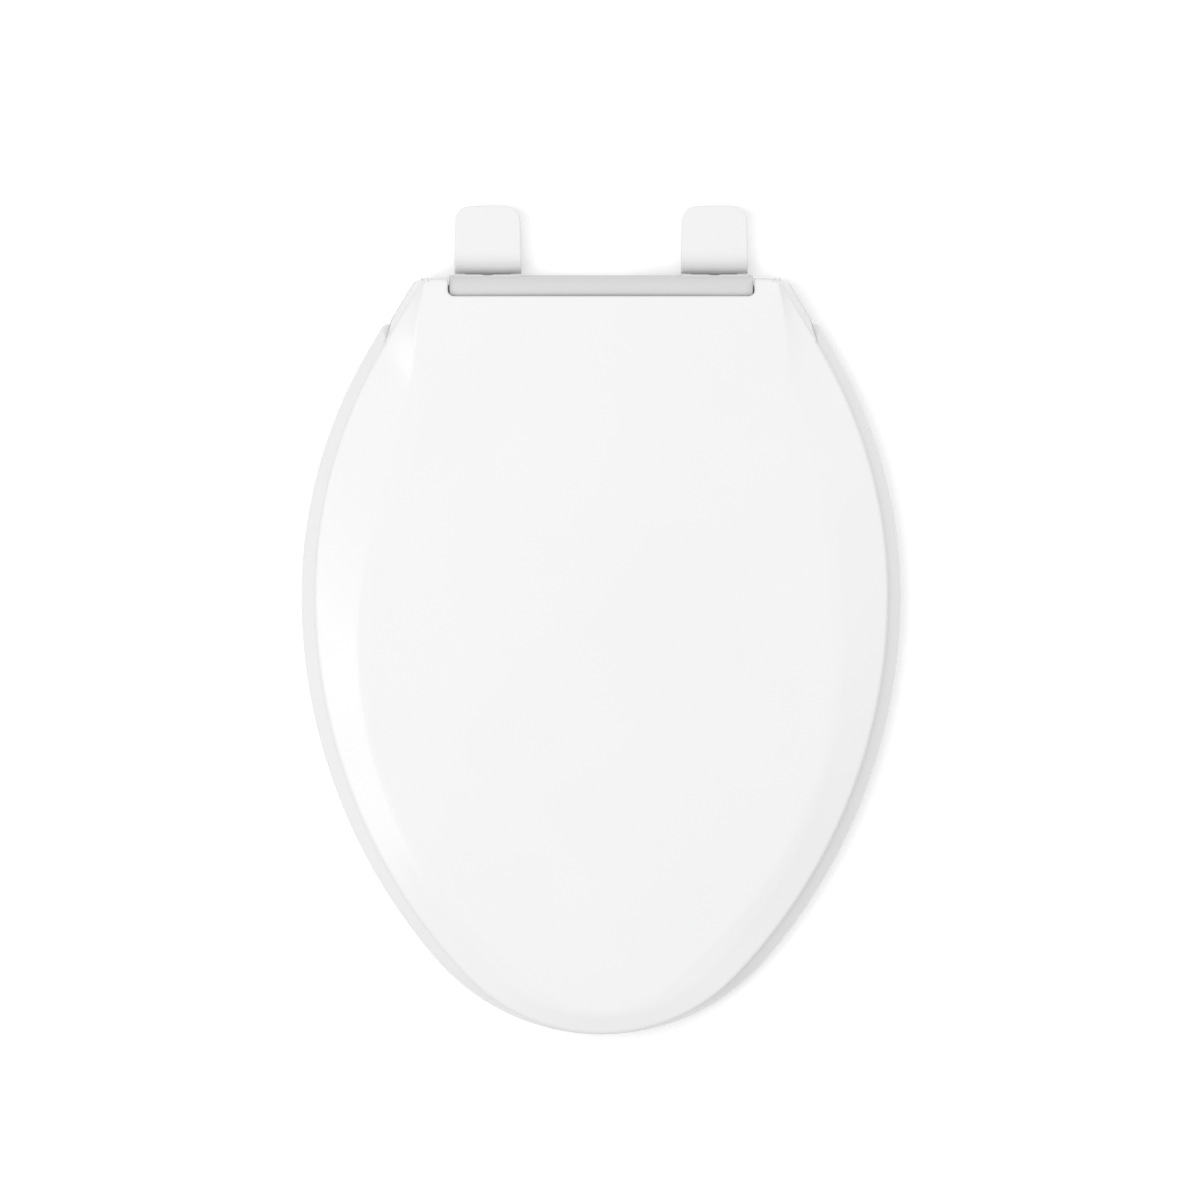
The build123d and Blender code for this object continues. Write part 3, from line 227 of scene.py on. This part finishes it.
# Finish of each material slot. The plastics end in roughness, and the glossy ones in edge radius in mm
FINISHES = {
    "lid_plastic": gloss_plastic("lid_white_gloss", WHITE, WHITE_SHADE, 0.17, 3.0),
    "ring_plastic": gloss_plastic("ring_white_gloss", WHITE, WHITE_SHADE, 0.18, 1.5),
    # The hinge's grey base colour is painted shade of its recess.
    "hinge_plastic": gloss_plastic("hinge_gloss_painted_shade", BARREL_GREY_PAINTED_SHADE, BARREL_TINT_PAINTED_SHADE, 0.28, 0.6),
    "cover_plastic": gloss_plastic("cover_white_gloss", COVER_WHITE, COVER_WHITE_SHADE, 0.22, 1.0),
    "pad_rubber": rubber("pad_grey_rubber", (0.5, 0.5, 0.49), (0.56, 0.56, 0.55)),
    "seal_rubber": rubber("seal_black_rubber", (0.025, 0.025, 0.026), (0.05, 0.05, 0.05)),
    "bumper_rubber": rubber("buffer_white_rubber", (0.7, 0.7, 0.68), (0.76, 0.76, 0.75)),
    "damper_shell": matte_plastic("damper_grey_shell", (0.3, 0.31, 0.32), (0.35, 0.36, 0.37), 0.42),
    "damper_shaft": matte_plastic("damper_pale_shaft", (0.74, 0.73, 0.69), (0.69, 0.68, 0.64), 0.35),
}

SLOT_OF_NODE = {entry["node"]: entry["material_slot"] for entry in frame["record"]["subparts"]}
for node_name, node_object in frame["nodes"].items():
    node_object.data.materials.clear()
    node_object.data.materials.append(FINISHES[SLOT_OF_NODE[node_name]])


def show(name, work, body, slot):
    """Object from a finished bmesh, which moves with a body and takes a slot's finish."""
    for face in work.faces:
        face.smooth = True
    for edge in work.edges:
        edge.smooth = edge.calc_face_angle(0) < SHARP_ANGLE
    sheet = bpy.data.meshes.new(name)
    work.to_mesh(sheet)
    work.free()
    sheet.materials.append(FINISHES[slot])
    piece = bpy.data.objects.new(name, sheet)
    bpy.context.scene.collection.objects.link(piece)
    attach(piece, body)
    return piece


def turned(profile, centre):
    """Closed buffer with rounded rims, turned about an upright axis from radii and heights in mm."""
    work = bmesh.new()
    points = [
        work.verts.new((centre.x + radius * MM, centre.y, centre.z + height * MM))
        for radius, height in profile
    ]
    lines = [work.edges.new(pair) for pair in zip(points, points[1:])]
    bmesh.ops.spin(
        work,
        geom=points + lines,
        cent=centre,
        axis=(0, 0, 1),
        angle=math.tau,
        steps=TURN_STEPS,
        use_merge=True,
    )
    bmesh.ops.remove_doubles(work, verts=work.verts, dist=MERGE)
    bmesh.ops.dissolve_degenerate(work, edges=work.edges, dist=MERGE)
    bmesh.ops.recalc_face_normals(work, faces=work.faces)
    rims = [edge for edge in work.edges if edge.calc_face_angle(0) > RIM_ANGLE]
    bmesh.ops.bevel(
        work,
        geom=rims,
        offset=BUFFER_EDGE_ROUND,
        offset_type="OFFSET",
        affect="EDGES",
        segments=BUFFER_EDGE_STEPS,
        profile=0.5,
        material=-1,
        clamp_overlap=True,
    )
    return work


def make_buffer(node, body, profile):
    """Rubber buffer with a dished foot and a grip groove, in the place of its plain solid."""
    low, high = (Vector(corner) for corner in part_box(node))
    centre = (low + high) / 2
    centre.z = low.z
    piece = show(f"{node}_moulded", turned(profile, centre), body, "bumper_rubber")
    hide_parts(node)


# Buffer profiles from the dished foot up to the peg: radius and height in mm
RING_BUFFER = (
    (0, 0.6), (5.4, 0.6), (6.0, 0), (9.0, 0), (10, 1.0),
    (10, 3.2), (9.5, 3.6), (9.5, 4.3), (10, 4.7), (10, 6.3), (9.3, 7),
    (3, 7), (3, 14.2), (2.4, 15), (0, 15),
)
LID_BUFFER_RISE = (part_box("lid_bumper_left")[1][2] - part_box("lid_bumper_left")[0][2]) / MM
LID_BUFFER_SHOULDER = LID_BUFFER_RISE - 2.4
LID_BUFFER = (
    (0, 0.4), (3.0, 0.4), (3.4, 0), (5.0, 0), (6, 1.0),
    (6, LID_BUFFER_SHOULDER - 0.5), (5.5, LID_BUFFER_SHOULDER),
    (1.9, LID_BUFFER_SHOULDER), (1.9, LID_BUFFER_RISE - 0.5),
    (1.4, LID_BUFFER_RISE), (0, LID_BUFFER_RISE),
)
for corner_name in ("front_left", "front_right", "rear_left", "rear_right"):
    make_buffer(f"ring_bumper_{corner_name}", "seat_ring", RING_BUFFER)
for hand in ("left", "right"):
    make_buffer(f"lid_bumper_{hand}", "lid", LID_BUFFER)


def make_floor():
    """Pale ground that stays white to the camera and keeps part of the seat's shadow."""
    work = bmesh.new()
    bmesh.ops.create_grid(work, x_segments=1, y_segments=1, size=FLOOR_REACH)
    bmesh.ops.translate(work, verts=work.verts, vec=(0, 0, FLOOR_LEVEL))
    sheet = bpy.data.meshes.new("floor")
    work.to_mesh(sheet)
    work.free()
    floor = bpy.data.objects.new("floor", sheet)
    bpy.context.scene.collection.objects.link(floor)
    finish = Finish(bpy.data.materials.new("floor_white"))
    matte = finish.node("ShaderNodeBsdfDiffuse", {}, {"Color": FLOOR_TONE})
    paper = finish.node("ShaderNodeBsdfDiffuse", {}, {"Color": PURE_WHITE})
    glow = finish.node("ShaderNodeEmission", {}, {"Color": PURE_WHITE, "Strength": FLOOR_GLOW})
    lit = finish.node("ShaderNodeMixShader", {}, {0: FLOOR_PAPER_SHARE, 1: glow, 2: paper})
    ground = finish.node("ShaderNodeMixShader", {}, {0: finish.seen(), 1: matte, 2: lit})
    finish.node("ShaderNodeOutputMaterial", {}, {"Surface": ground})
    sheet.materials.append(finish.owner)


def make_light(name, place, width, height, power, mirrored):
    """Softbox turned to the seat's middle. One that isn't mirrored leaves no highlight on the gloss."""
    lamp = bpy.data.lights.new(name, "AREA")
    lamp.shape = "RECTANGLE"
    lamp.size = width
    lamp.size_y = height
    lamp.energy = power
    holder = bpy.data.objects.new(name, lamp)
    holder.location = place
    holder.rotation_euler = (LAMP_TARGET - Vector(place)).to_track_quat("-Z", "Y").to_euler()
    holder.visible_glossy = mirrored
    bpy.context.scene.collection.objects.link(holder)


def make_world():
    """Even soft light that is white for the camera and for mirror rays."""
    world = bpy.data.worlds.new("studio")
    bpy.context.scene.world = world
    finish = Finish(world)
    soft = finish.node("ShaderNodeBackground", {}, {"Color": PURE_WHITE, "Strength": SKY_LEVEL})
    white = finish.node("ShaderNodeBackground", {}, {"Color": PURE_WHITE, "Strength": 1.0})
    sky = finish.node("ShaderNodeMixShader", {}, {0: finish.seen(), 1: soft, 2: white})
    finish.node("ShaderNodeOutputWorld", {}, {"Surface": sky})


def make_camera():
    """Far camera straight above, with the photograph's scale at the level of the ring's edge."""
    field = IMAGE_PIXELS * PHOTO_MM_PER_PIXEL * MM
    lens = bpy.data.cameras.new("photo_camera")
    lens.sensor_width = SENSOR_MM
    lens.lens = SENSOR_MM * (CAMERA_HEIGHT - PHOTO_LEVEL) / field
    camera = bpy.data.objects.new("photo_camera", lens)
    camera.location = (PHOTO_MIDDLE_X, PHOTO_MIDDLE_Y, CAMERA_HEIGHT)
    bpy.context.scene.collection.objects.link(camera)
    bpy.context.scene.camera = camera


bpy.context.scene.view_settings.view_transform = "Standard"
make_floor()
make_world()
for lamp_name, lamp_values in LAMPS.items():
    make_light(lamp_name, *lamp_values)
make_camera()
